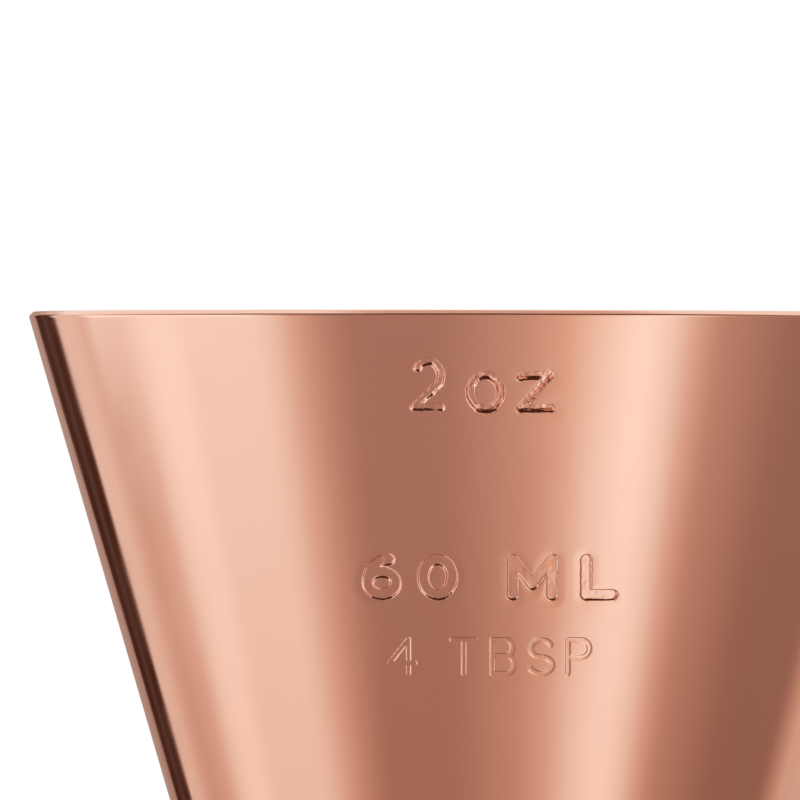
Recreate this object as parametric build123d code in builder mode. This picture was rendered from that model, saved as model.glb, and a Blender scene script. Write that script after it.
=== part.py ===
"""Double-ended bar jigger: a 2 fl oz cup standing on an upturned 1 fl oz cup.

The frame has +Z up on the cups' common axis, with its origin at the centre of the small
cup's lip, on the surface that the jigger stands on. All sizes are in millimetres.
"""

import os
from math import pi, radians, tan

from build123d import *

# Capacities, each filled level with the brim
fluid_ounce = 29573.5
large_capacity = 2 * fluid_ounce
small_capacity = fluid_ounce
large_measures = (1 * fluid_ounce, 1.5 * fluid_ounce)
small_measures = (0.5 * fluid_ounce, 0.75 * fluid_ounce)

# Both cups are pressed from one gauge of sheet, with one flare and one floor
flare = tan(radians(16.4))
wall = 1.0
floor_radius = 9.0
floor_corner_radius = 2.0
lip_bevel = 0.27
lip_inner_bevel = 0.12
measure_line_depth = 0.15

# Capacity mark on the large cup's -Y side, stamped with strokes of one width
mark_stroke = 0.4
mark_depth = 0.12
mark_baseline = 5.8  # below the brim
numeral_height = 2.7
letter_height = 2.1
numeral_middle = -3.7
first_letter_middle = -0.3
second_letter_middle = 2.6
glyph_half_width = 0.95
bowl_radius = 0.85
bowl_start = 170  # degrees, on the numeral's left
bowl_sweep = -210  # degrees, over its top and down its right side

# The joint at the waist
braze_thickness = 0.2
braze_radius = 7.2
collar_height = 7.0
collar_end_width = 1.1
collar_crown = 0.5
collar_edge_radius = 0.35

# Derived sizes
wall_across = wall * (1 + flare**2) ** 0.5
floor_edge_radius = floor_radius + wall_across - flare * wall


def radius_at(volume):
    """Inside radius of the level that a cup reaches when it holds this volume."""
    return (3 * flare * volume / pi + floor_radius**3) ** (1 / 3)


def depth_at(volume):
    """Height of that level above the cup's floor."""
    return (radius_at(volume) - floor_radius) / flare


# Section planes: local X is the radius, local Y runs from the floor to the mouth
large_floor_height = depth_at(small_capacity) + wall + braze_thickness
small_floor_height = large_floor_height - braze_thickness
joint_height = (large_floor_height + small_floor_height) / 2
large_cup_base = Plane(origin=(0, 0, large_floor_height), x_dir=(1, 0, 0), z_dir=(0, -1, 0))
small_cup_base = Plane(origin=(0, 0, small_floor_height), x_dir=(1, 0, 0), z_dir=(0, 1, 0))
collar_middle = Plane(origin=(0, 0, joint_height), x_dir=(1, 0, 0), z_dir=(0, -1, 0))


def pressed_cup(capacity, measures, base):
    """Flat floor on the base plane's origin, straight flared wall and a bevelled lip."""
    mouth_radius = radius_at(capacity)
    mouth_height = wall + depth_at(capacity)
    lip_radius = mouth_radius + wall_across
    with BuildPart() as cup:
        with BuildSketch(base):
            with BuildLine():
                Polyline(
                    (0, 0),
                    (floor_edge_radius, 0),
                    (lip_radius - flare * lip_bevel, mouth_height - lip_bevel),
                    (lip_radius - (1 + flare) * lip_bevel, mouth_height),
                    (mouth_radius + (1 - flare) * lip_inner_bevel, mouth_height),
                    (mouth_radius - flare * lip_inner_bevel, mouth_height - lip_inner_bevel),
                    (floor_radius, wall),
                    (0, wall),
                    close=True,
                )
            make_face()
            inner_corner = vertices().filter_by_position(Axis.Y, wall, wall).sort_by(Axis.X)[-1]
            fillet(inner_corner, floor_corner_radius)
            outer_corner = vertices().group_by(Axis.Y)[0].sort_by(Axis.X)[-1]
            fillet(outer_corner, floor_corner_radius + wall)
            with Locations(*[(radius_at(level), wall + depth_at(level)) for level in measures]):
                Circle(measure_line_depth, mode=Mode.SUBTRACT)
        revolve(axis=Axis.Z)
    return cup.part


# The mark 2 oz, as cut by a stamp that sinks to one depth all over the flared wall
brim_radius = radius_at(large_capacity)
brim_height = wall + depth_at(large_capacity)
clear_radius = 2 * brim_radius
mark_plane = Plane(
    origin=(0, -clear_radius, large_floor_height + brim_height - mark_baseline),
    x_dir=(1, 0, 0),
    z_dir=(0, -1, 0),
)
mark_inset = mark_depth * (1 + flare**2) ** 0.5
second_left = second_letter_middle - glyph_half_width
second_right = second_letter_middle + glyph_half_width
with BuildPart() as capacity_mark:
    with BuildSketch(mark_plane):
        with BuildLine():
            bowl_centre = (numeral_middle, numeral_height - bowl_radius)
            bowl = CenterArc(bowl_centre, bowl_radius, bowl_start, bowl_sweep)
            Line(bowl @ 1, (numeral_middle - glyph_half_width, 0))
        trace(line_width=mark_stroke)
        with BuildLine():
            Line((numeral_middle - glyph_half_width, 0), (numeral_middle + glyph_half_width, 0))
        trace(line_width=mark_stroke)
        with Locations((first_letter_middle, letter_height / 2)):
            Ellipse(glyph_half_width + mark_stroke / 2, (letter_height + mark_stroke) / 2)
            Ellipse(
                glyph_half_width - mark_stroke / 2,
                (letter_height - mark_stroke) / 2,
                mode=Mode.SUBTRACT,
            )
        for start, end in (
            ((second_left, letter_height), (second_right, letter_height)),
            ((second_right, letter_height), (second_left, 0)),
            ((second_left, 0), (second_right, 0)),
        ):
            with BuildLine():
                Line(start, end)
            trace(line_width=mark_stroke)
    extrude(amount=-clear_radius)
    with BuildSketch(large_cup_base):
        with BuildLine():
            Polyline(
                (floor_edge_radius - mark_inset, 0),
                (clear_radius, 0),
                (clear_radius, brim_height),
                (floor_edge_radius + flare * brim_height - mark_inset, brim_height),
                close=True,
            )
        make_face()
    revolve(axis=Axis.Z, mode=Mode.INTERSECT)

# Cups, back to back
with BuildPart() as large_cup:
    add(pressed_cup(large_capacity, large_measures, large_cup_base))
    add(capacity_mark.part, mode=Mode.SUBTRACT)
small_cup = pressed_cup(small_capacity, small_measures, small_cup_base)

# Braze between the two floors
with BuildPart(Plane.XY.offset(joint_height)) as braze_disc:
    Cylinder(braze_radius, braze_thickness)

# Turned collar, trapped between the two flares, with a crowned outer face
half_height = collar_height / 2
neck_radius = floor_edge_radius - flare * braze_thickness / 2
bore_radius = neck_radius + flare * half_height
with BuildPart() as waist_collar:
    with BuildSketch(collar_middle):
        with BuildLine():
            Polyline(
                (bore_radius + collar_end_width, -half_height),
                (bore_radius, -half_height),
                (neck_radius, 0),
                (bore_radius, half_height),
                (bore_radius + collar_end_width, half_height),
            )
            ThreePointArc(
                (bore_radius + collar_end_width, half_height),
                (bore_radius + collar_end_width + collar_crown, 0),
                (bore_radius + collar_end_width, -half_height),
            )
        make_face()
        fillet(vertices().group_by(Axis.X)[-1], collar_edge_radius)
    revolve(axis=Axis.Z)

large_cup.part.label = "large_cup"
small_cup.label = "small_cup"
braze_disc.part.label = "braze_disc"
waist_collar.part.label = "waist_collar"

os.makedirs("parts", exist_ok=True)
export_step(large_cup.part, "parts/large_cup.step")
export_step(small_cup, "parts/small_cup.step")
export_step(braze_disc.part, "parts/braze_disc.step")
export_step(waist_collar.part, "parts/waist_collar.step")

print("large cup brim radius", round(radius_at(large_capacity), 2))
print("small cup brim radius", round(radius_at(small_capacity), 2))
print("joint height", round(joint_height, 2))
print("overall height", round(large_floor_height + wall + depth_at(large_capacity), 2))
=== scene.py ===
from math import atan2, cos, degrees, pi, radians, sin, sqrt, tan

import bmesh
import bpy
from bpy.props import FloatProperty, FloatVectorProperty, IntProperty, PointerProperty
from bpy.types import Operator, Panel, PropertyGroup
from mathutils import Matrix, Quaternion, Vector
from mathutils.kdtree import KDTree


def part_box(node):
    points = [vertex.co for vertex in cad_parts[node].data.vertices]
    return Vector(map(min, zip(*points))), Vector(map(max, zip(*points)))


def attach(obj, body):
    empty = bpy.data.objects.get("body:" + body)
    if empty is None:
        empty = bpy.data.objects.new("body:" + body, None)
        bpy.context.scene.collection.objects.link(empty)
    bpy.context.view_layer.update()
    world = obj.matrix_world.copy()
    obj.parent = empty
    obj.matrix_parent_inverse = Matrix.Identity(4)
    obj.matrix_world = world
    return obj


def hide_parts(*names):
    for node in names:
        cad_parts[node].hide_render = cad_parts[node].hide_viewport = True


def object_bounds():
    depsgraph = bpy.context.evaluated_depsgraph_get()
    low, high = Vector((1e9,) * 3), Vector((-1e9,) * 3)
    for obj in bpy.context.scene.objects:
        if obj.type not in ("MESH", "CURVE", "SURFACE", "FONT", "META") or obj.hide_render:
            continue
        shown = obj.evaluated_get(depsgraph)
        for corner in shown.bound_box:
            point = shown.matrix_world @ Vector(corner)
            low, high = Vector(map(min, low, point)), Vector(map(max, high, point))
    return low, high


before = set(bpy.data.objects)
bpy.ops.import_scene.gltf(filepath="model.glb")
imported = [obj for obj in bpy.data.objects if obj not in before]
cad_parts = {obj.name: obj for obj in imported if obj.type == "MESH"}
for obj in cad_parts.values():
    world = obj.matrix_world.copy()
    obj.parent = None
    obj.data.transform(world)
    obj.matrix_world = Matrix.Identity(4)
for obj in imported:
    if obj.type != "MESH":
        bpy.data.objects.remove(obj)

bl_info = {
    "name": "Bar Jigger",
    "version": (1, 0, 0),
    "blender": (4, 5, 0),
    "location": "3D View > Sidebar > Jigger",
    "description": "Builds a copper plated double jigger, its stamped marks and a plain studio",
    "category": "Add Mesh",
}

MM = 0.001
FLUID_OUNCE = 29573.5 * MM**3
CAD_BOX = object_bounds()
LARGE_LOW, LARGE_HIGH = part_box("large_cup")
SMALL_LOW, SMALL_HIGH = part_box("small_cup")
COLLAR_LOW, COLLAR_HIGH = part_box("waist_collar")
JOINT_HEIGHT = (COLLAR_LOW.z + COLLAR_HIGH.z) / 2


def linear(hex_colour):
    """An sRGB hex colour as the linear RGBA that shaders take."""
    channels = [int(hex_colour[i : i + 2], 16) / 255 for i in (0, 2, 4)]
    lit = [c / 12.92 if c <= 0.04045 else ((c + 0.055) / 1.055) ** 2.4 for c in channels]
    return lit + [1.0]


def length(name, description, default_mm):
    """A size property in metres, from its default in millimetres."""
    return FloatProperty(
        name=name, description=description, default=default_mm * MM, unit="LENGTH", precision=5
    )


def angle(name, description, default_degrees):
    """An angle property in radians, from its default in degrees."""
    return FloatProperty(
        name=name, description=description, default=radians(default_degrees), subtype="ANGLE"
    )


def colour(name, description, default_hex):
    """A colour property, from its default in sRGB hex."""
    return FloatVectorProperty(
        name=name, description=description, default=linear(default_hex), size=4, subtype="COLOR"
    )


# ---------------------------------------------------------------- sizes and colours


class JiggerSizes(PropertyGroup):
    flare: angle("Flare", "Angle between the cups' walls and their axis", 16.4)
    wall: length("Wall", "Thickness of the pressed sheet", 1.0)
    lip_bevel: length("Lip bevel", "Height of the bevel outside each lip", 0.27)
    lip_inner_bevel: length("Inner lip bevel", "Height of the bevel inside each lip", 0.12)
    floor_corner: length("Floor corner", "Radius inside the corner of each floor", 2.0)
    measure_line: length("Measure line", "Depth of the lines inside the cups", 0.15)
    lip_softness: length("Lip softness", "Radius that polishing leaves outside the lips", 0.18)
    edge_softness: length("Edge softness", "Radius that polishing leaves on other edges", 0.05)
    collar_end_width: length("Collar end", "Width of the collar's flat ends", 1.1)
    collar_crown: length("Collar crown", "How far the collar's face bulges", 0.5)
    collar_edge: length("Collar edge", "Radius of the collar's outer edges", 0.35)
    meridians: IntProperty(
        name="Meridians", description="Columns of faces round the large cup", default=288
    )
    evenness: FloatProperty(
        name="Evenness",
        description="1 spaces the large cup's columns evenly, less crowds them at the marks",
        default=0.2,
    )
    plain_meridians: IntProperty(
        name="Plain meridians",
        description="Columns of faces round the other pieces",
        default=288,
    )


class JiggerMarks(PropertyGroup):
    row_height: length("Row height", "Height of a row of faces near the marks", 0.15)
    halo: length("Halo", "How far round a stroke the sheet is drawn in with it", 0.8)
    capacity_foot: length("Capacity foot", "From the brim to the foot of 2 oz", 5.66)
    metric_foot: length("Metric foot", "From the brim to the foot of 60 ML", 16.2)
    spoon_foot: length("Spoon foot", "From the brim to the foot of 4 TBSP", 20.67)
    capacity_depth: length("Capacity depth", "Depth of the stamped 2 oz", 0.17)
    metric_depth: length("Metric depth", "Depth of the stamped 60 ML", 0.1)
    spoon_depth: length("Spoon depth", "Depth of the stamped 4 TBSP", 0.035)
    seed: FloatProperty(
        name="Seed", description="Picks where the stamps bit deeper", default=3.0
    )


class JiggerColours(PropertyGroup):
    copper: colour("Copper plate", "What fresh copper plating reflects", "F9C8B5")
    # Painted shade: the copper's colour near the waist, darker and redder for reflections that
    # dim lower on the wall
    waist_shaded_copper: colour("Waist shaded copper", "What it reflects near the waist", "F1BBA5")
    braze: colour("Braze", "What the silver braze reflects", "D9D2BE")
    floor: colour("Floor", "The studio's floor", "F2F0EE")


# ---------------------------------------------------------------- node helpers


def node(tree, kind, inputs=None, **settings):
    """Adds a node with its settings, and sets or links its inputs.

    An input is a value, a socket, or a node that stands for its first output.
    """
    made = tree.nodes.new(kind)
    for name, value in settings.items():
        setattr(made, name, value)
    for key, value in (inputs or {}).items():
        if isinstance(value, bpy.types.Node):
            value = value.outputs[0]
        if isinstance(value, bpy.types.NodeSocket):
            tree.links.new(value, made.inputs[key])
        else:
            made.inputs[key].default_value = value
    return made


# ---------------------------------------------------------------- sections


def fillet_points(centre, start, end, radius, step_degrees=9):
    """Points of the shorter arc about a centre, from the direction of start to that of end."""
    first = atan2(start.y - centre.y, start.x - centre.x)
    last = atan2(end.y - centre.y, end.x - centre.x)
    turn = (last - first + pi) % (2 * pi) - pi
    steps = max(3, round(abs(degrees(turn)) / step_degrees))
    turns = [first + turn * i / steps for i in range(steps + 1)]
    return [centre + Vector((cos(a), sin(a))) * radius for a in turns]


def rounded_corner(before, here, after, radius):
    """A corner turned to an arc, with a support point on each side of it.

    The support points keep the smooth shading of the straight runs true.
    """
    back = (before - here).normalized()
    ahead = (after - here).normalized()
    half_angle = back.angle(ahead) / 2
    reach = radius / tan(half_angle)
    support = 0.3 * radius
    centre = here + (back + ahead).normalized() * (radius / sin(half_angle))
    first = here + back * reach
    last = here + ahead * reach
    points = fillet_points(centre, first, last, radius)
    return [first + back * support] + points + [last + ahead * support]


def measure_line(middle, down_wall, depth):
    """A half-round line scribed in the inner wall, down which the section runs."""
    into_metal = Vector((-down_wall.y, down_wall.x))
    shoulder = down_wall * depth * 1.25
    points = [middle - shoulder]
    for turn in range(0, 181, 20):
        a = radians(turn)
        points.append(middle + (into_metal * sin(a) - down_wall * cos(a)) * depth)
    return points + [middle + shoulder]


def cup_section(low, high, volumes, bands=()):
    """A cup's section, mouth up, from the middle of its floor outside to the middle inside.

    The widest radius and the height are those of the CAD node. Each volume gets a measuring
    line inside, at the level that it fills. Each band (below the brim from, to) of the
    outer wall gets rows of faces close enough together to carry stamped marks.
    """
    sizes = bpy.context.scene.jigger_sizes
    slope = tan(sizes.flare)
    across = sizes.wall / cos(sizes.flare)
    height = high.z - low.z
    bevel = sizes.lip_bevel
    inner_bevel = sizes.lip_inner_bevel
    lip = high.x + slope * bevel
    mouth = lip - across
    floor = mouth - slope * (height - sizes.wall)
    soft = sizes.edge_softness
    outer_soft = sizes.lip_softness
    corners = [
        (0, 0, 0),
        (floor + across - slope * sizes.wall, 0, sizes.floor_corner + sizes.wall),
        (lip - slope * bevel, height - bevel, outer_soft),
        (lip - (1 + slope) * bevel, height, outer_soft),
        (mouth + (1 - slope) * inner_bevel, height, soft),
        (mouth - slope * inner_bevel, height - inner_bevel, soft),
        (floor, sizes.wall, sizes.floor_corner),
        (0, sizes.wall, 0),
    ]
    points = [Vector(corner[:2]) for corner in corners]

    outer_rows = []
    for upper, lower in bands:
        count = round((lower - upper) / bpy.context.scene.jigger_marks.row_height)
        for i in range(count + 1):
            level = height - lower + (lower - upper) * i / count
            outer_rows.append(Vector((points[2].x - slope * (points[2].y - level), level)))
    outer_rows.sort(key=lambda point: point.y)

    inner_lines = []
    down_wall = (points[6] - points[5]).normalized()
    for volume in sorted(volumes, reverse=True):
        level = (3 * slope * volume / pi + floor**3) ** (1 / 3)
        middle = Vector((level, sizes.wall + (level - floor) / slope))
        inner_lines += measure_line(middle, down_wall, sizes.measure_line)

    added = {1: outer_rows, 5: inner_lines}
    outline = [points[0]]
    for i in range(1, 7):
        outline += rounded_corner(points[i - 1], points[i], points[i + 1], corners[i][2])
        outline += added.get(i, [])
    return outline + [points[7]]


def collar_section(low, high):
    """The collar's section: a double-tapered bore, flat ends and a crowned outer face."""
    sizes = bpy.context.scene.jigger_sizes
    slope = tan(sizes.flare)
    half = (high.z - low.z) / 2
    middle = (high.z + low.z) / 2
    end_radius = high.x - sizes.collar_crown
    bore = end_radius - sizes.collar_end_width
    neck = bore - slope * half
    edge = sizes.collar_edge
    crown_radius = (half**2 + sizes.collar_crown**2) / (2 * sizes.collar_crown)
    crown_centre = Vector((high.x - crown_radius, 0))
    edge_centre = Vector(
        (crown_centre.x + sqrt((crown_radius - edge) ** 2 - (half - edge) ** 2), half - edge)
    )
    end_tangent = Vector((edge_centre.x, half))
    crown_tangent = crown_centre + (edge_centre - crown_centre).normalized() * crown_radius

    upper_edge = fillet_points(edge_centre, crown_tangent, end_tangent, edge)
    upper_crown = fillet_points(
        crown_centre, Vector((high.x, 0)), crown_tangent, crown_radius, step_degrees=1.5
    )
    bore_corner = rounded_corner(
        end_tangent, Vector((bore, half)), Vector((neck, 0)), sizes.edge_softness
    )
    upper = upper_crown[:-1] + upper_edge + bore_corner
    lower = [Vector((point.x, -point.y)) for point in reversed(upper)]
    outline = lower[:-1] + upper + [Vector((neck, 0))]
    outline.append(outline[0])
    return [Vector((point.x, point.y + middle)) for point in outline]


def edge_object(name, points, edges):
    """An object that has only points and the edges between them."""
    mesh = bpy.data.meshes.new(name)
    mesh.from_pydata(points, edges, [])
    made = bpy.data.objects.new(name, mesh)
    bpy.context.collection.objects.link(made)
    return made


def section_object(name, outline):
    """The outline as edges in the XZ plane, X being the radius."""
    edges = [(i, i + 1) for i in range(len(outline) - 1)]
    return edge_object(name, [(point.x, 0, point.y) for point in outline], edges)


# ---------------------------------------------------------------- stamped strokes


def curve_of(centre, radii, start, end, count=16):
    """Points of an elliptical arc from one angle to another, in degrees."""
    turns = [radians(start + (end - start) * i / count) for i in range(count + 1)]
    return [(centre[0] + radii[0] * cos(a), centre[1] + radii[1] * sin(a)) for a in turns]


# The strokes of each glyph, in a box about one wide and one high
GLYPHS = {
    "2": [curve_of((0.52, 0.72), (0.48, 0.32), 146, -34) + [(0.0, 0.04), (1.0, 0.04)]],
    "o": [curve_of((0.5, 0.5), (0.5, 0.5), 0, 360, 32)],
    "z": [[(0.0, 1.0), (0.1, 1.03), (0.93, 1.05), (0.97, 1.1), (0.0, 0.03), (1.0, 0.04)]],
    "6": [
        curve_of((0.5, 0.32), (0.5, 0.32), 0, 360, 32),
        curve_of((0.8, 0.32), (0.8, 0.68), 180, 92),
    ],
    "0": [curve_of((0.5, 0.5), (0.5, 0.5), 0, 360, 32)],
    "M": [[(0.0, 0.0), (0.0, 1.0), (0.5, 0.3), (1.0, 1.0), (1.0, 0.0)]],
    "L": [[(0.0, 1.0), (0.0, 0.0), (1.0, 0.0)]],
    "4": [[(0.74, 0.0), (0.74, 1.0), (0.0, 0.3), (1.0, 0.3)]],
    "T": [[(0.0, 1.0), (1.0, 1.0)], [(0.5, 1.0), (0.5, 0.0)]],
    "B": [
        [(0.6, 0.53), (0.0, 0.53), (0.0, 1.0), (0.6, 1.0)],
        curve_of((0.6, 0.765), (0.33, 0.235), 90, -90),
        [(0.0, 0.53), (0.0, 0.0), (0.62, 0.0)],
        curve_of((0.62, 0.265), (0.38, 0.265), 90, -90),
    ],
    "S": [
        curve_of((0.5, 0.745), (0.46, 0.255), 25, 270)
        + curve_of((0.5, 0.245), (0.5, 0.245), 90, -155)
    ],
    "P": [
        [(0.0, 0.0), (0.0, 1.0), (0.58, 1.0)],
        curve_of((0.58, 0.74), (0.4, 0.26), 90, -90) + [(0.0, 0.48)],
    ],
}


# The lines of marks. Letters are (glyph, middle, width, height). Those and the sizes of the
# groove are in millimetres. Lumps are a share of its depth, and lean is the share that each
# millimetre to the right adds.
MARK_LINES = (
    {
        "name": "capacity",
        "letters": (("2", -3.58, 1.52, 2.6), ("o", -0.29, 1.76, 1.92), ("z", 2.56, 1.74, 1.83)),
        "groove": {
            "Half width": 0.1,
            "Shoulder": 0.17,
            "Slide": 0.11,
            "Halo depth": 0.006,
            "Waver": 0.12,
        },
        "lumps": 0.45,
        "lean": 0.08,
    },
    {
        "name": "metric",
        "letters": (
            ("6", -6.2, 1.6, 2.0),
            ("0", -3.0, 1.65, 2.0),
            ("M", 2.4, 2.25, 2.0),
            ("L", 6.2, 1.5, 2.0),
        ),
        "groove": {
            "Half width": 0.24,
            "Shoulder": 0.12,
            "Slide": 0.05,
            "Halo depth": 0.02,
            "Waver": 0.09,
        },
        "lumps": 0.16,
        "lean": 0.0,
    },
    {
        "name": "spoon",
        "letters": (
            ("4", -5.0, 1.45, 1.93),
            ("T", -1.5, 1.35, 1.93),
            ("B", 0.75, 1.25, 1.93),
            ("S", 2.9, 1.3, 1.93),
            ("P", 5.05, 1.25, 1.93),
        ),
        "groove": {
            "Half width": 0.08,
            "Shoulder": 0.09,
            "Slide": 0.01,
            "Halo depth": 0.002,
            "Waver": 0.06,
        },
        "lumps": 0.25,
        "lean": 0.0,
    },
)
SAMPLE_SPACING = 0.05 * MM
# How far past a groove's edge its faces are halved, the first time and the second
HALVING_MARGINS = (0.2 * MM, 0.04 * MM)


def mark_bands():
    """How far below the brim each line of marks begins and ends, with its halo."""
    marks = bpy.context.scene.jigger_marks
    bands = []
    for line in MARK_LINES:
        foot = getattr(marks, line["name"] + "_foot")
        tallest = max(letter[3] for letter in line["letters"]) * MM
        bands.append((foot - tallest - marks.halo, foot + marks.halo))
    return bands


def laid_strokes(letters, foot):
    """The strokes of letters as edges on the large cup's outer wall, on its -Y side.

    Letters are (glyph, middle, width, height) in millimetres, and foot is how far below the
    brim they stand. Each point goes straight back to the wall.
    """
    sizes = bpy.context.scene.jigger_sizes
    slope = tan(sizes.flare)
    points = []
    edges = []
    for glyph, middle, width, height in letters:
        for stroke in GLYPHS[glyph]:
            first = len(points)
            for x, y in stroke:
                across = (middle + (x - 0.5) * width) * MM
                below = foot - y * height * MM
                radius = LARGE_HIGH.x - slope * (below - sizes.lip_bevel)
                back = -sqrt(radius**2 - across**2)
                points.append((across, back, LARGE_HIGH.z - below))
            edges += [(i, i + 1) for i in range(first, len(points) - 1)]
    return edge_object("strokes", points, edges)


def halve_faces_near(mesh, strokes, reach):
    """Cuts the edges of a mesh in two where both ends are within reach of the strokes."""
    samples = []
    for edge in strokes.data.edges:
        start, end = (strokes.data.vertices[i].co for i in edge.vertices)
        count = max(1, round((end - start).length / SAMPLE_SPACING))
        samples += [start.lerp(end, i / count) for i in range(count + 1)]
    tree = KDTree(len(samples))
    for i, sample in enumerate(samples):
        tree.insert(sample, i)
    tree.balance()
    shape = bmesh.new()
    shape.from_mesh(mesh)
    near = {vertex for vertex in shape.verts if tree.find(vertex.co)[2] < reach}
    chosen = [edge for edge in shape.edges if near.issuperset(edge.verts)]
    bmesh.ops.subdivide_edges(
        shape, edges=chosen, cuts=1, use_grid_fill=True, use_single_edge=True
    )
    shape.to_mesh(mesh)
    shape.free()


# ---------------------------------------------------------------- geometry nodes

WELD_DISTANCE = 0.0005 * MM
# What makes the marks uneven: the spacing and the detail of the noises
WAVER_NOISE = (0.3 * MM, 1.5)
LUMP_NOISE = (0.26 * MM, 0.5)
BITE_NOISE = (1.4 * MM, 0.0)
BITE = 0.9  # share of the depth


def new_tree(name, geometry, inputs):
    """A geometry group with its named inputs, and those inputs' sockets."""
    tree = bpy.data.node_groups.new(name, "GeometryNodeTree")
    tree.interface.new_socket(name=geometry, in_out="INPUT", socket_type="NodeSocketGeometry")
    for label, kind in inputs:
        tree.interface.new_socket(name=label, in_out="INPUT", socket_type="NodeSocket" + kind)
    tree.interface.new_socket(name="Shell", in_out="OUTPUT", socket_type="NodeSocketGeometry")
    return tree, node(tree, "NodeGroupInput").outputs


def end_tree(tree, geometry, material):
    """Ends a tree with real geometry in its material."""
    real = node(tree, "GeometryNodeRealizeInstances", {"Geometry": geometry})
    painted = node(tree, "GeometryNodeSetMaterial", {"Geometry": real, "Material": material})
    node(tree, "NodeGroupOutput", {"Shell": painted})
    return tree


def turned_shell_tree():
    """Turns a section round Z, with its meridians closest together on the -Y side."""
    inputs = [("Meridians", "Int"), ("Evenness", "Float"), ("Material", "Material")]
    tree, given = new_tree("Turned shell", "Section", inputs)
    size = node(tree, "GeometryNodeAttributeDomainSize", {"Geometry": given["Section"]})
    rows = size.outputs["Point Count"]
    columns = node(tree, "ShaderNodeMath", {0: given["Meridians"], 1: 1.0}, operation="ADD")
    sides = {"Size X": 1.0, "Size Y": 1.0, "Vertices X": columns, "Vertices Y": rows}
    grid = node(tree, "GeometryNodeMeshGrid", sides)
    cells = {0: node(tree, "GeometryNodeInputIndex"), 1: rows}
    column = node(tree, "FunctionNodeIntegerMath", cells, operation="DIVIDE_FLOOR")
    row = node(tree, "FunctionNodeIntegerMath", cells, operation="MODULO")
    position = node(tree, "GeometryNodeInputPosition")
    wanted = {"Geometry": given["Section"], "Value": position, "Index": row}
    sampled = node(tree, "GeometryNodeSampleIndex", wanted, data_type="FLOAT_VECTOR")
    radius, _, height = node(tree, "ShaderNodeSeparateXYZ", {0: sampled}).outputs

    # Half a turn each way from the front, growing with an even part and a fifth power
    along = node(tree, "ShaderNodeMath", {0: column, 1: given["Meridians"]}, operation="DIVIDE")
    side = node(tree, "ShaderNodeMath", {0: along, 1: 2.0, 2: -1.0}, operation="MULTIPLY_ADD")
    fifth = node(tree, "ShaderNodeMath", {0: side, 1: 5.0}, operation="POWER")
    even = node(tree, "ShaderNodeMath", {0: given["Evenness"], 1: pi}, operation="MULTIPLY")
    rest = node(tree, "ShaderNodeMath", {0: pi, 1: even}, operation="SUBTRACT")
    growing = node(tree, "ShaderNodeMath", {0: fifth, 1: rest}, operation="MULTIPLY")
    turn = {0: side, 1: even, 2: growing}
    turn = node(tree, "ShaderNodeMath", turn, operation="MULTIPLY_ADD")

    across = node(tree, "ShaderNodeMath", {0: turn}, operation="SINE")
    ahead = node(tree, "ShaderNodeMath", {0: turn}, operation="COSINE")
    backwards = node(tree, "ShaderNodeMath", {0: radius, 1: -1.0}, operation="MULTIPLY")
    place = {
        "X": node(tree, "ShaderNodeMath", {0: radius, 1: across}, operation="MULTIPLY"),
        "Y": node(tree, "ShaderNodeMath", {0: backwards, 1: ahead}, operation="MULTIPLY"),
        "Z": height,
    }
    target = node(tree, "ShaderNodeCombineXYZ", place)
    placed = node(tree, "GeometryNodeSetPosition", {"Geometry": grid, "Position": target})
    weld = {"Geometry": placed, "Distance": WELD_DISTANCE}
    welded = node(tree, "GeometryNodeMergeByDistance", weld)
    smooth = node(tree, "GeometryNodeSetShadeSmooth", {"Geometry": welded})
    return end_tree(tree, smooth, given["Material"])


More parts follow.
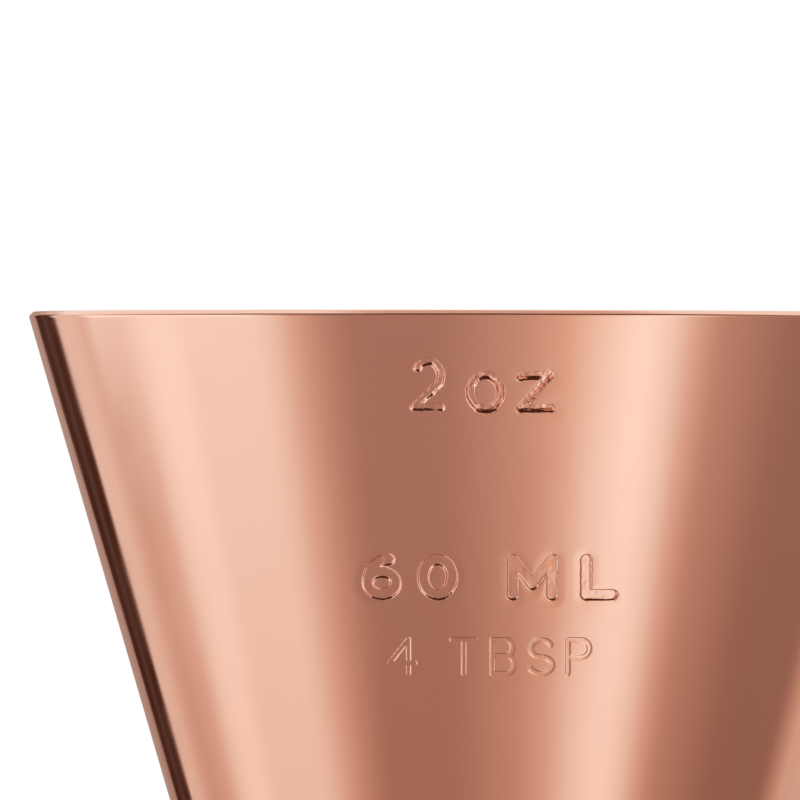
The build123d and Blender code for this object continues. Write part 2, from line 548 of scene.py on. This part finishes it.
def stamped_marks_tree():
    """Presses the wall of a cup in along strokes that lie on it.

    The punch slid upwards as it sank, so a groove's lower side is wide and its upper one
    steep. It leaned, so that its +X side went deeper. It also bit unevenly, which noise
    stands for: its edges waver, its floor is lumpy, and some stretches are deeper.
    """
    labels = ("Half width", "Shoulder", "Depth", "Lean", "Slide", "Halo", "Halo depth", "Waver")
    inputs = [("Strokes", "Object"), ("Seed", "Float"), ("Material", "Material")]
    inputs += [(label, "Float") for label in labels + ("Lumps",)]
    tree, given = new_tree("Stamped marks", "Shell", inputs)
    laid = node(tree, "GeometryNodeObjectInfo", {"Object": given["Strokes"]})
    nearest = node(
        tree, "GeometryNodeProximity", {0: laid.outputs["Geometry"]}, target_element="EDGES"
    )
    noises = []
    for spacing, detail in (WAVER_NOISE, LUMP_NOISE, BITE_NOISE):
        spot = {
            "Vector": node(tree, "GeometryNodeInputPosition"),
            "W": given["Seed"],
            "Scale": 1 / spacing,
            "Detail": detail,
        }
        noise = node(tree, "ShaderNodeTexNoise", spot, noise_dimensions="4D")
        noises.append(node(tree, "ShaderNodeMath", {0: noise, 1: 0.5}, operation="SUBTRACT"))
    edge_waver, lumps, bite = noises

    wavered = {0: edge_waver, 1: given["Waver"], 2: nearest.outputs["Distance"]}
    away = node(tree, "ShaderNodeMath", wavered, operation="MULTIPLY_ADD")
    edge = {0: given["Half width"], 1: given["Shoulder"]}
    edge = node(tree, "ShaderNodeMath", edge, operation="ADD")
    inside = {"Value": away, "From Min": given["Half width"], "From Max": edge}
    inside.update({"To Min": 1.0, "To Max": 0.0})
    stroke = node(tree, "ShaderNodeMapRange", inside, interpolation_type="SMOOTHSTEP")
    around = {"Value": away, "From Min": given["Half width"], "From Max": given["Halo"]}
    around.update({"To Min": given["Halo depth"], "To Max": 0.0})
    halo = node(tree, "ShaderNodeMapRange", around, interpolation_type="SMOOTHSTEP")

    sideways = node(tree, "ShaderNodeSeparateXYZ", {0: node(tree, "GeometryNodeInputPosition")})
    lean = {0: sideways, 1: given["Lean"], 2: 1.0}
    lean = node(tree, "ShaderNodeMath", lean, operation="MULTIPLY_ADD")
    lumpy = {0: lumps, 1: given["Lumps"], 2: lean}
    lumpy = node(tree, "ShaderNodeMath", lumpy, operation="MULTIPLY_ADD")
    uneven = {0: bite, 1: BITE, 2: lumpy}
    uneven = node(tree, "ShaderNodeMath", uneven, operation="MULTIPLY_ADD")
    sunk = node(tree, "ShaderNodeMath", {0: stroke, 1: given["Depth"]}, operation="MULTIPLY")
    sunk = node(tree, "ShaderNodeMath", {0: sunk, 1: uneven, 2: halo}, operation="MULTIPLY_ADD")
    inwards = node(tree, "ShaderNodeMath", {0: sunk, 1: -1.0}, operation="MULTIPLY")
    push = {0: node(tree, "GeometryNodeInputNormal"), "Scale": inwards}
    push = node(tree, "ShaderNodeVectorMath", push, operation="SCALE")
    slid = node(tree, "ShaderNodeMath", {0: stroke, 1: given["Slide"]}, operation="MULTIPLY")
    slid = node(tree, "ShaderNodeCombineXYZ", {"Z": slid})
    offset = node(tree, "ShaderNodeVectorMath", {0: push, 1: slid}, operation="ADD")
    pressed = {"Geometry": given["Shell"], "Offset": offset}
    pressed = node(tree, "GeometryNodeSetPosition", pressed)
    return end_tree(tree, pressed, given["Material"])


def add_nodes(target, tree, values):
    """Adds a Geometry Nodes modifier, its inputs set by their sockets' identifiers."""
    modifier = target.modifiers.new(tree.name, "NODES")
    modifier.node_group = tree
    for socket in tree.interface.items_tree:
        if socket.in_out == "INPUT" and socket.name in values:
            modifier[socket.identifier] = values[socket.name]


def plain_mesh(name, source):
    """The evaluated result of an object's modifiers as a new object, in place of it."""
    graph = bpy.context.evaluated_depsgraph_get()
    mesh = bpy.data.meshes.new_from_object(source.evaluated_get(graph), depsgraph=graph)
    mesh.name = name
    bpy.data.objects.remove(source)
    piece = bpy.data.objects.new(name, mesh)
    bpy.context.collection.objects.link(piece)
    return piece


def finish_piece(piece, cad_node):
    """The piece rides on the body, in place of its CAD node."""
    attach(piece, "root")
    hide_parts(cad_node)


def turned_piece(name, outline, material, meridians, evenness=1.0):
    """The shell that the outline makes when it is turned round Z."""
    source = section_object(name + "_section", outline)
    tree = bpy.data.node_groups.get("Turned shell") or turned_shell_tree()
    values = {"Meridians": meridians, "Evenness": evenness, "Material": material}
    add_nodes(source, tree, values)
    return plain_mesh(name, source)


def stamped_piece(name, cup, material):
    """The cup with every line of marks pressed into it."""
    marks = bpy.context.scene.jigger_marks
    tree = stamped_marks_tree()
    all_strokes = []
    for line in MARK_LINES:
        groove = line["groove"]
        strokes = laid_strokes(line["letters"], getattr(marks, line["name"] + "_foot"))
        all_strokes.append(strokes)
        reach = (groove["Half width"] + groove["Shoulder"] + groove["Waver"] / 2) * MM
        for margin in HALVING_MARGINS:
            halve_faces_near(cup.data, strokes, reach + margin)
        values = {label: size * MM for label, size in groove.items()}
        values["Strokes"] = strokes
        values["Seed"] = marks.seed
        values["Depth"] = getattr(marks, line["name"] + "_depth")
        values["Halo"] = marks.halo
        values["Lumps"] = line["lumps"]
        values["Lean"] = line["lean"] / MM
        values["Material"] = material
        add_nodes(cup, tree, values)
    stamped = plain_mesh(name, cup)
    for strokes in all_strokes:
        bpy.data.objects.remove(strokes)
    return stamped


# ---------------------------------------------------------------- materials

CUP_COPPER = "Polished copper plate, buffed up the wall"
LINE_SPACING = 0.25 * MM
LINE_DEPTH = 0.0002 * MM
RIPPLE_SPACING = 9 * MM
RIPPLE_DEPTH = 0.006 * MM
PATCH_SPACING = 6 * MM
PATCHINESS = 0.5
ROUGHNESS = (0.06, 0.1)
# How wide a circle the lines are spaced round: a cup's, or hardly any if they are turned
WALL_RADIUS = 25 * MM
RING_RADIUS = 1 * MM
# How much of the height counts for them: hardly any if they run up the wall
WALL_SQUEEZE = 0.02
RING_SQUEEZE = 1.0
# How far from the joint the painted shade is full, and where it ends
WAIST_SHADE_FULL_WITHIN = 24 * MM
WAIST_SHADE_ENDS_BEYOND = 58 * MM
BRAZE_GRAIN = 0.6 * MM
BRAZE_RELIEF = 0.02 * MM
# How far from its middle the floor is solid, and where it is clear, in metres
FLOOR_SOLID = 0.25
FLOOR_CLEAR = 0.95


def polished_copper(name, lines_up_wall):
    """Bright copper plating over buffed steel.

    The plating copies what it covers, so it reflects like a mirror with a copper tint. The
    buffing wheel leaves faint drawn-out lines and a slow ripple. Towards the waist the copper
    is painted a shade darker and redder, a painted shade for reflections that dim lower on
    the wall, and it is slightly duller in patches all over.
    The real lines are microns apart. They are drawn further apart, so as to show at all.
    """
    colours = bpy.context.scene.jigger_colours
    material = bpy.data.materials.new(name)
    material.use_nodes = True
    tree = material.node_tree
    tree.nodes.clear()
    spot = node(tree, "ShaderNodeTexCoord").outputs["Object"]
    x, y, z = node(tree, "ShaderNodeSeparateXYZ", {0: spot}).outputs

    # Lines up the wall hardly change with height, and turned lines hardly change round it
    flat = node(tree, "ShaderNodeCombineXYZ", {"X": x, "Y": y})
    around = node(tree, "ShaderNodeVectorMath", {0: flat}, operation="NORMALIZE")
    spread = {0: around, "Scale": WALL_RADIUS if lines_up_wall else RING_RADIUS}
    around = node(tree, "ShaderNodeVectorMath", spread, operation="SCALE")
    rise = {0: z, 1: WALL_SQUEEZE if lines_up_wall else RING_SQUEEZE}
    rise = node(tree, "ShaderNodeMath", rise, operation="MULTIPLY")
    rise = node(tree, "ShaderNodeCombineXYZ", {"Z": rise})
    drawn = node(tree, "ShaderNodeVectorMath", {0: around, 1: rise}, operation="ADD")
    lines = {"Vector": drawn, "Scale": 1 / LINE_SPACING, "Detail": 3.0}
    lines = node(tree, "ShaderNodeTexNoise", lines)
    ripple = {"Vector": spot, "Scale": 1 / RIPPLE_SPACING, "Detail": 1.0}
    ripple = node(tree, "ShaderNodeTexNoise", ripple)
    patches = {"Vector": spot, "Scale": 1 / PATCH_SPACING, "Detail": 4.0}
    patches = node(tree, "ShaderNodeTexNoise", patches)

    # Painted shade: the copper is painted darker and redder towards the waist, fading out
    # towards the lips, and its edge is patchy
    above = node(tree, "ShaderNodeMath", {0: z, 1: JOINT_HEIGHT}, operation="SUBTRACT")
    reach = node(tree, "ShaderNodeMath", {0: above}, operation="ABSOLUTE")
    reach = {"Value": reach, "From Min": WAIST_SHADE_FULL_WITHIN, "From Max": WAIST_SHADE_ENDS_BEYOND}
    reach.update({"To Min": 1.0, "To Max": 0.0})
    waist_shade = node(tree, "ShaderNodeMapRange", reach, interpolation_type="SMOOTHSTEP")
    centred = node(tree, "ShaderNodeMath", {0: patches, 1: 0.5}, operation="SUBTRACT")
    waist_shade = {0: centred, 1: PATCHINESS, 2: waist_shade}
    waist_shade = node(tree, "ShaderNodeMath", waist_shade, operation="MULTIPLY_ADD", use_clamp=True)
    mixed = {0: waist_shade, 6: colours.copper, 7: colours.waist_shaded_copper}
    tint = node(tree, "ShaderNodeMix", mixed, data_type="RGBA").outputs[2]
    duller = {"Value": patches, "From Min": 0.35, "From Max": 0.7}
    duller.update({"To Min": ROUGHNESS[0], "To Max": ROUGHNESS[1]})
    roughness = node(tree, "ShaderNodeMapRange", duller, interpolation_type="SMOOTHSTEP")

    slow = node(tree, "ShaderNodeBump", {"Height": ripple, "Distance": RIPPLE_DEPTH})
    fine = {"Height": lines, "Distance": LINE_DEPTH, "Normal": slow}
    fine = node(tree, "ShaderNodeBump", fine)
    inputs = {"Base Color": tint, "Metallic": 1.0, "Roughness": roughness, "Normal": fine}
    shader = node(tree, "ShaderNodeBsdfPrincipled", inputs)
    node(tree, "ShaderNodeOutputMaterial", {"Surface": shader})
    return material


def silver_braze():
    """Silver braze as it set: a pale, dull metal with a slightly pooled and grainy face."""
    material = bpy.data.materials.new("Silver braze, as set")
    material.use_nodes = True
    tree = material.node_tree
    tree.nodes.clear()
    spot = node(tree, "ShaderNodeTexCoord").outputs["Object"]
    grain = {"Vector": spot, "Scale": 1 / BRAZE_GRAIN, "Detail": 5.0}
    grain = node(tree, "ShaderNodeTexNoise", grain)
    pooled = {"Value": grain, "From Min": 0.3, "From Max": 0.7, "To Min": 0.35, "To Max": 0.6}
    inputs = {
        "Base Color": bpy.context.scene.jigger_colours.braze,
        "Metallic": 1.0,
        "Roughness": node(tree, "ShaderNodeMapRange", pooled),
        "Normal": node(tree, "ShaderNodeBump", {"Height": grain, "Distance": BRAZE_RELIEF}),
    }
    shader = node(tree, "ShaderNodeBsdfPrincipled", inputs)
    node(tree, "ShaderNodeOutputMaterial", {"Surface": shader})
    return material


def matt_floor():
    """Pale matt card that fades out towards its rim, so that it has no edge."""
    material = bpy.data.materials.new("Pale matt card")
    material.use_nodes = True
    tree = material.node_tree
    tree.nodes.clear()
    spot = node(tree, "ShaderNodeTexCoord").outputs["Object"]
    away = node(tree, "ShaderNodeVectorMath", {0: spot}, operation="LENGTH").outputs["Value"]
    fading = {"Value": away, "From Min": FLOOR_SOLID, "From Max": FLOOR_CLEAR}
    fade = node(tree, "ShaderNodeMapRange", fading, interpolation_type="SMOOTHSTEP")
    card = {
        "Base Color": bpy.context.scene.jigger_colours.floor,
        "Roughness": 0.8,
        "Specular IOR Level": 0.1,
    }
    solid = node(tree, "ShaderNodeBsdfPrincipled", card)
    clear = node(tree, "ShaderNodeBsdfTransparent")
    shader = node(tree, "ShaderNodeMixShader", {0: fade, 1: solid, 2: clear})
    node(tree, "ShaderNodeOutputMaterial", {"Surface": shader})
    return material


# ---------------------------------------------------------------- studio

# What stands round the object. A bearing is in degrees, 0 being in front, on the -Y side, and
# 90 on the +X side. A height is in degrees too, along arches that run over and under the
# object from its left to its right: it is the elevation at which an arch crosses the front.
# Each thing has its left and right edges and their soft borders, its lower and upper edges
# and their soft borders, and its brightness. Later ones stand before earlier ones.
EVERY_HEIGHT = (-9999, 9999, 1, 1)
PANELS = (
    ("rear wall, left", (-181, -96, 1, 16), EVERY_HEIGHT, 0.62),
    ("rear wall, right", (125, 181, 16, 1), EVERY_HEIGHT, 0.67),
    ("rear shade, right", (158, 181, 28, 1), EVERY_HEIGHT, 0.42),
    ("side wall, right", (78, 118, 44, 8), EVERY_HEIGHT, 0.31),
    ("left softbox", (-109, -52, 30, 34), EVERY_HEIGHT, 0.88),
    ("left softbox, core", (-104, -90, 16, 10), EVERY_HEIGHT, 0.96),
    ("left softbox, upper part", (-126, -62, 10, 24), (-32.42, 9999, 0.3, 1), 1.0),
    ("key softbox, spill", (-2, 68, 34, 48), EVERY_HEIGHT, 0.56),
    ("key softbox", (24.5, 54.5, 38, 26), EVERY_HEIGHT, 1.0),
    ("narrow rear light", (-146, -127, 2, 14), EVERY_HEIGHT, 0.77),
    ("rear shade, left", (-181, -155, 1, 6), EVERY_HEIGHT, 0.42),
)
# These two lean by FLAG_LEAN degrees of bearing between LEAN_FOOT and LEAN_TOP
FLAGS = (
    ("black flag", (-158.8, -141.7, 3, 2.5), EVERY_HEIGHT, 0.075),
    ("slit in the flag", (-152, -148, 3, 3), EVERY_HEIGHT, 0.11),
)
FLAG_LEAN = 4.4
LEAN_TOP = -30.2
LEAN_FOOT = -36.8
# This one hangs higher up, before all the others
UPPER_PANELS = (("flag over the camera", (-105, 70, 90, 70), (27, 78, 6, 4), 0.075),)
FRONT_LEVEL = 0.385
# Outside these bearings the backdrop stands over the walls and panels
FRONT_OPENING = (-98, 98, 30, 30)
# The elevations at which these begin and are full, and their brightness
BACKDROP = (8, 24, 0.9)
CEILING = (66, 78, 0.63)
BENCH = (-62, -72, 0.25)
# The key softbox is warmer on the upper left
WARM_SPILL = (15, 35, 14, 12)
WARM_HEIGHTS = (-32.72, 9999, 0.3, 1)
WARM_TONE = "FFF3E8"
STUDIO_STRENGTH = 1.15
# From dim to bright
STUDIO_TONES = (
    (0.07, "3F2118"),
    (0.1, "4E3830"),
    (0.38, "A0857A"),
    (0.56, "BFA597"),
    (0.72, "D5C4B8"),
    (0.87, "E8E9E5"),
    (1.0, "F6FEFF"),
)
FLOOR_GAP = 0.02 * MM
CAMERA_DISTANCE = 1.0
VIEW_WIDTH = 46.5 * MM
CAMERA_BELOW_BRIM = 6.1 * MM
TARGET_BELOW_BRIM = 5.09 * MM
TARGET_LEFT = 5.27 * MM
CAMERA_ROLL = 0.12  # degrees


def window(tree, value, low, high, low_border, high_border):
    """1 between two edges and 0 outside them, with soft borders."""
    rising = {
        "Value": value,
        "From Min": low - low_border / 2,
        "From Max": low + low_border / 2,
    }
    falling = {
        "Value": value,
        "From Min": high - high_border / 2,
        "From Max": high + high_border / 2,
        "To Min": 1.0,
        "To Max": 0.0,
    }
    both = {
        0: node(tree, "ShaderNodeMapRange", rising, interpolation_type="SMOOTHSTEP"),
        1: node(tree, "ShaderNodeMapRange", falling, interpolation_type="SMOOTHSTEP"),
    }
    return node(tree, "ShaderNodeMath", both, operation="MULTIPLY")


def with_panels(tree, level, bearing, height, panels):
    """The studio's brightness with panels put before what it has already."""
    for _, sides, ends, brightness in panels:
        covered = window(tree, bearing, *sides)
        if ends is not EVERY_HEIGHT:
            both = {0: covered, 1: window(tree, height, *ends)}
            covered = node(tree, "ShaderNodeMath", both, operation="MULTIPLY")
        level = node(tree, "ShaderNodeMix", {0: covered, 2: level, 3: brightness})
    return level


def studio_world():
    """A white backdrop, with softboxes, walls and flags that only reflections show."""
    world = bpy.data.worlds.new("Tabletop studio")
    world.use_nodes = True
    tree = world.node_tree
    tree.nodes.clear()
    direction = node(tree, "ShaderNodeTexCoord").outputs["Generated"]
    x, y, z = node(tree, "ShaderNodeSeparateXYZ", {0: direction}).outputs
    forwards = node(tree, "ShaderNodeMath", {0: y, 1: -1.0}, operation="MULTIPLY")
    turn = node(tree, "ShaderNodeMath", {0: x, 1: forwards}, operation="ARCTAN2")
    bearing = node(tree, "ShaderNodeMath", {0: turn}, operation="DEGREES")
    rise = node(tree, "ShaderNodeMath", {0: z}, operation="ARCSINE")
    elevation = node(tree, "ShaderNodeMath", {0: rise}, operation="DEGREES")
    half_turn = node(tree, "ShaderNodeMath", {0: turn, 1: 0.5}, operation="MULTIPLY")
    narrowing = node(tree, "ShaderNodeMath", {0: half_turn}, operation="COSINE")
    height = node(tree, "ShaderNodeMath", {0: elevation, 1: narrowing}, operation="DIVIDE")

    level = with_panels(tree, FRONT_LEVEL, bearing, height, PANELS)
    leaning = {
        "Value": height,
        "From Min": LEAN_FOOT,
        "From Max": LEAN_TOP,
        "To Min": -FLAG_LEAN / 2,
        "To Max": FLAG_LEAN / 2,
    }
    leaning = {0: bearing, 1: node(tree, "ShaderNodeMapRange", leaning)}
    leaning = node(tree, "ShaderNodeMath", leaning, operation="ADD")
    level = with_panels(tree, level, leaning, height, FLAGS)

    front = window(tree, bearing, *FRONT_OPENING)
    rear = node(tree, "ShaderNodeMath", {0: 1.0, 1: front}, operation="SUBTRACT")
    for (start, full, brightness), part in ((BACKDROP, rear), (CEILING, 1.0), (BENCH, 1.0)):
        reached = {"Value": elevation, "From Min": start, "From Max": full}
        reached = node(tree, "ShaderNodeMapRange", reached, interpolation_type="SMOOTHSTEP")
        covered = node(tree, "ShaderNodeMath", {0: reached, 1: part}, operation="MULTIPLY")
        level = node(tree, "ShaderNodeMix", {0: covered, 2: level, 3: brightness})
    level = with_panels(tree, level, bearing, height, UPPER_PANELS)

    # Dim parts of the studio are warm, and the lamps are a cool white
    tones = node(tree, "ShaderNodeValToRGB", {"Fac": level})
    ramp = tones.color_ramp
    while len(ramp.elements) < len(STUDIO_TONES):
        ramp.elements.new(0.5)
    for element, (position, tone) in zip(ramp.elements, STUDIO_TONES):
        element.position = position
        element.color = linear(tone)

    warm = {0: window(tree, bearing, *WARM_SPILL), 1: window(tree, height, *WARM_HEIGHTS)}
    warm = node(tree, "ShaderNodeMath", warm, operation="MULTIPLY")
    warm = {0: warm, 6: tones, 7: linear(WARM_TONE)}
    warm = node(tree, "ShaderNodeMix", warm, data_type="RGBA", blend_type="MULTIPLY").outputs[2]
    seen = node(tree, "ShaderNodeBackground", {"Color": warm, "Strength": STUDIO_STRENGTH})
    plain = node(tree, "ShaderNodeBackground", {"Color": linear("FFFFFF"), "Strength": 1.0})
    glossy = node(tree, "ShaderNodeLightPath").outputs["Is Glossy Ray"]
    surface = node(tree, "ShaderNodeMixShader", {0: glossy, 1: plain, 2: seen})
    node(tree, "ShaderNodeOutputWorld", {"Surface": surface})
    bpy.context.scene.world = world


def studio_floor():
    """A round pale floor that the object stands on."""
    mesh = bpy.data.meshes.new("studio_floor")
    shape = bmesh.new()
    bmesh.ops.create_circle(shape, cap_ends=True, radius=1.0, segments=96)
    shape.to_mesh(mesh)
    shape.free()
    floor = bpy.data.objects.new("studio_floor", mesh)
    bpy.context.collection.objects.link(floor)
    floor.location.z = CAD_BOX[0].z - FLOOR_GAP
    mesh.materials.append(matt_floor())
    floor.visible_glossy = False


def studio_lamp():
    """One large soft lamp over the front left, which gives the object a faint shadow."""
    data = bpy.data.lights.new("soft_lamp", "AREA")
    data.shape = "DISK"
    data.size = 0.7
    data.energy = 3.0
    lamp = bpy.data.objects.new("soft_lamp", data)
    bpy.context.collection.objects.link(lamp)
    lamp.location = (-0.5, -0.4, 1.1)
    lamp.rotation_euler = (-lamp.location).to_track_quat("-Z", "Y").to_euler()
    lamp.visible_glossy = False


def studio_camera():
    """A long lens, a little below the brim, looking at the stamped side of the large cup."""
    data = bpy.data.cameras.new("camera")
    data.sensor_width = 36.0
    data.lens = data.sensor_width * CAMERA_DISTANCE / VIEW_WIDTH
    data.clip_start = 0.05
    data.clip_end = 20.0
    camera = bpy.data.objects.new("camera", data)
    bpy.context.collection.objects.link(camera)
    brim = LARGE_HIGH.z
    camera.location = (0, -CAMERA_DISTANCE, brim - CAMERA_BELOW_BRIM)
    target = Vector((-TARGET_LEFT, 0, brim - TARGET_BELOW_BRIM))
    level = (target - camera.location).to_track_quat("-Z", "Y")
    camera.rotation_mode = "QUATERNION"
    camera.rotation_quaternion = level @ Quaternion((0, 0, 1), radians(CAMERA_ROLL))
    bpy.context.scene.camera = camera


# ---------------------------------------------------------------- operators


class JIGGER_OT_large_cup(Operator):
    """Builds the two ounce cup with its stamped marks"""

    bl_idname = "jigger.large_cup"
    bl_label = "Large cup"

    def execute(self, context):
        sizes = context.scene.jigger_sizes
        copper = polished_copper(CUP_COPPER, lines_up_wall=True)
        volumes = (FLUID_OUNCE, 1.5 * FLUID_OUNCE)
        outline = cup_section(LARGE_LOW, LARGE_HIGH, volumes, mark_bands())
        for point in outline:
            point.y += LARGE_LOW.z
        cup = turned_piece("two_ounce_cup", outline, copper, sizes.meridians, sizes.evenness)
        cup = stamped_piece("two_ounce_cup", cup, copper)
        finish_piece(cup, "large_cup")
        return {"FINISHED"}


class JIGGER_OT_small_cup(Operator):
    """Builds the one ounce cup, mouth down"""

    bl_idname = "jigger.small_cup"
    bl_label = "Small cup"

    def execute(self, context):
        sizes = context.scene.jigger_sizes
        copper = bpy.data.materials[CUP_COPPER]
        volumes = (0.5 * FLUID_OUNCE, 0.75 * FLUID_OUNCE)
        outline = cup_section(SMALL_LOW, SMALL_HIGH, volumes)
        for point in outline:
            point.y = SMALL_HIGH.z - point.y
        outline.reverse()
        cup = turned_piece("one_ounce_cup", outline, copper, sizes.plain_meridians)
        finish_piece(cup, "small_cup")
        return {"FINISHED"}


class JIGGER_OT_waist_collar(Operator):
    """Builds the turned collar that is trapped round the waist"""

    bl_idname = "jigger.waist_collar"
    bl_label = "Waist collar"

    def execute(self, context):
        sizes = context.scene.jigger_sizes
        copper = polished_copper("Polished copper plate, turned", lines_up_wall=False)
        outline = collar_section(COLLAR_LOW, COLLAR_HIGH)
        collar = turned_piece("turned_collar", outline, copper, sizes.plain_meridians)
        finish_piece(collar, "waist_collar")
        return {"FINISHED"}


class JIGGER_OT_braze_disc(Operator):
    """Gives the braze between the floors its finish"""

    bl_idname = "jigger.braze_disc"
    bl_label = "Braze disc"

    def execute(self, context):
        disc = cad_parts["braze_disc"]
        braze = silver_braze()
        for slot in disc.material_slots:
            slot.material = braze
        return {"FINISHED"}


class JIGGER_OT_studio(Operator):
    """Sets up the floor, the backdrop, the light and the camera"""

    bl_idname = "jigger.studio"
    bl_label = "Studio"

    def execute(self, context):
        context.scene.view_settings.view_transform = "Standard"
        studio_world()
        studio_floor()
        studio_lamp()
        studio_camera()
        return {"FINISHED"}


class JIGGER_PT_sidebar(Panel):
    bl_idname = "JIGGER_PT_sidebar"
    bl_label = "Bar jigger"
    bl_space_type = "VIEW_3D"
    bl_region_type = "UI"
    bl_category = "Jigger"

    def draw(self, context):
        layout = self.layout
        for step in STEPS:
            layout.operator(step.bl_idname)
        for group in (
            context.scene.jigger_sizes,
            context.scene.jigger_marks,
            context.scene.jigger_colours,
        ):
            box = layout.box()
            for name in group.__annotations__:
                box.prop(group, name)


GROUPS = {
    "jigger_sizes": JiggerSizes,
    "jigger_marks": JiggerMarks,
    "jigger_colours": JiggerColours,
}
STEPS = (
    JIGGER_OT_large_cup,
    JIGGER_OT_small_cup,
    JIGGER_OT_waist_collar,
    JIGGER_OT_braze_disc,
    JIGGER_OT_studio,
)


def register():
    for name, group in GROUPS.items():
        bpy.utils.register_class(group)
        setattr(bpy.types.Scene, name, PointerProperty(type=group))
    for step in STEPS:
        bpy.utils.register_class(step)
    bpy.utils.register_class(JIGGER_PT_sidebar)


def unregister():
    bpy.utils.unregister_class(JIGGER_PT_sidebar)
    for step in reversed(STEPS):
        bpy.utils.unregister_class(step)
    for name, group in GROUPS.items():
        delattr(bpy.types.Scene, name)
        bpy.utils.unregister_class(group)


def main():
    """Builds every piece and the studio."""
    register()
    for step in STEPS:
        family, action = step.bl_idname.split(".")
        getattr(getattr(bpy.ops, family), action)()


if __name__ == "__main__":
    main()
